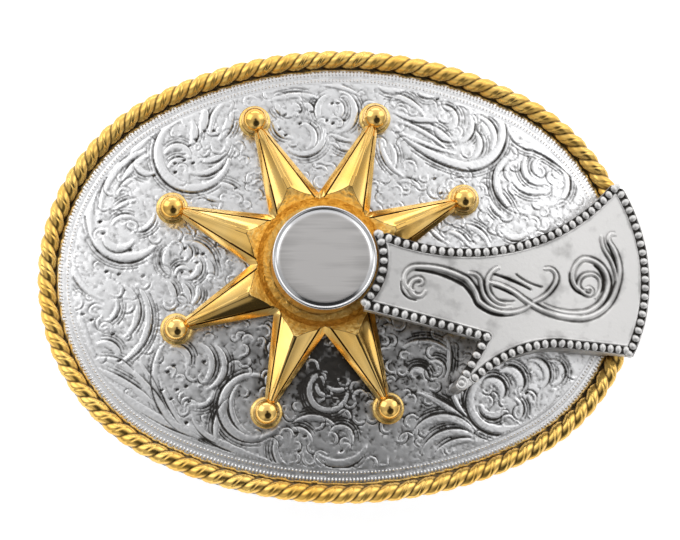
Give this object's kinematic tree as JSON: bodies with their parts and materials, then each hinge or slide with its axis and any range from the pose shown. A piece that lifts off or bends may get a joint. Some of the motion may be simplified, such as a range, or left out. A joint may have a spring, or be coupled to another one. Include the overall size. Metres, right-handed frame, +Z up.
{
  "type": "western belt buckle",
  "caption": "Large domed oval belt buckle with a twisted rope edge and a ball-tipped spur rowel that turns on a capped hub under a raised, bead-bordered spur shank.",
  "frame": {"origin": "on the surface that the buckle lies on, under the middle of its overall length and width", "axes": "+X along the buckle, from the hook's end to the belt loop's end; +Y across it; +Z up, out of the engraved face"},
  "size_m": [0.1032, 0.0764, 0.0221],
  "materials": {
    "engraved_silver": "silver-plated, bright-cut scroll engraving with darkened recesses",
    "rope_gold": "polished gold-plated twisted rope",
    "rowel_gold": "polished gold plate",
    "hub_gold": "polished gold plate",
    "cap_silver": "straight-brushed face in a polished rim",
    "antique_silver": "antiqued silver plate, satin, dark in the recesses",
    "back_metal": "plain satin plate"
  },
  "bodies": {
    "buckle": {"buckle_plate": "engraved_silver", "rope_edge": "rope_gold", "hub": "hub_gold", "hub_cap": "cap_silver", "spur_shank": "antique_silver", "belt_loop": "back_metal", "belt_hook": "back_metal"},
    "rowel": {"rowel": "rowel_gold"}
  },
  "joints": [
    {"name": "rowel_spin", "type": "hinge", "parent": "buckle", "child": "rowel", "pos_m": [-0.00465, 0.0015, 0.0155], "axis": [0, 0, 1], "continuous": true}
  ]
}
